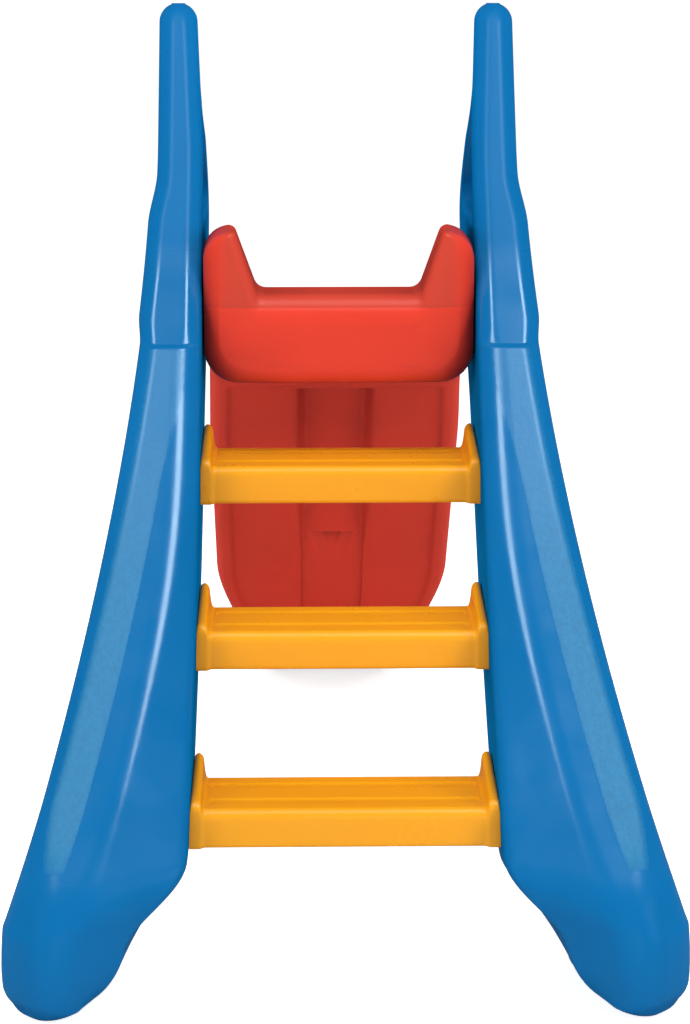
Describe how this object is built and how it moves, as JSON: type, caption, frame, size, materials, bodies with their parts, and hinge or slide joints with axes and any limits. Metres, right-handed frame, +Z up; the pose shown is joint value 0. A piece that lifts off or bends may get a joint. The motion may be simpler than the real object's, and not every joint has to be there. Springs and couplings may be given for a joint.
{
  "type": "kids slide",
  "caption": "Free-standing moulded garden slide: blue side rails with loop handles, yellow flanged steps, red double-walled chute.",
  "frame": {"origin": "on the ground, at the middle of the width and of the length", "axes": "+Z up; +Y from the ladder towards the end of the chute; +X to the right of a climbing child"},
  "size_m": [0.838, 1.7, 1.186],
  "materials": {
    "blue_plastic": "semi-gloss moulded polyethylene",
    "red_plastic": "semi-gloss moulded polyethylene",
    "yellow_plastic": "semi-gloss moulded polyethylene",
    "cap_plastic": "semi-gloss moulded plugs",
    "fastener_steel": "zinc-plated",
    "insert_brass": "turned and knurled"
  },
  "bodies": {
    "root": {"left_rail": "blue_plastic", "right_rail": "blue_plastic", "step_bottom": "yellow_plastic", "step_middle": "yellow_plastic", "step_top": "yellow_plastic", "upper_chute": "red_plastic", "lower_chute": "red_plastic", "step_bolt_bottom_left": "fastener_steel", "step_nut_bottom_left": "fastener_steel", "pocket_cap_step_bottom_left": "cap_plastic", "step_bolt_middle_left": "fastener_steel", "step_nut_middle_left": "fastener_steel", "pocket_cap_step_middle_left": "cap_plastic", "step_bolt_top_left": "fastener_steel", "step_nut_top_left": "fastener_steel", "pocket_cap_step_top_left": "cap_plastic", "chute_bolt_rear_left": "fastener_steel", "chute_insert_rear_left": "insert_brass", "pocket_cap_chute_rear_left": "cap_plastic", "chute_bolt_front_left": "fastener_steel", "chute_insert_front_left": "insert_brass", "pocket_cap_chute_front_left": "cap_plastic", "lap_screw_left": "fastener_steel", "step_bolt_bottom_right": "fastener_steel", "step_nut_bottom_right": "fastener_steel", "pocket_cap_step_bottom_right": "cap_plastic", "step_bolt_middle_right": "fastener_steel", "step_nut_middle_right": "fastener_steel", "pocket_cap_step_middle_right": "cap_plastic", "step_bolt_top_right": "fastener_steel", "step_nut_top_right": "fastener_steel", "pocket_cap_step_top_right": "cap_plastic", "chute_bolt_rear_right": "fastener_steel", "chute_insert_rear_right": "insert_brass", "pocket_cap_chute_rear_right": "cap_plastic", "chute_bolt_front_right": "fastener_steel", "chute_insert_front_right": "insert_brass", "pocket_cap_chute_front_right": "cap_plastic", "lap_screw_right": "fastener_steel"}
  },
  "joints": []
}
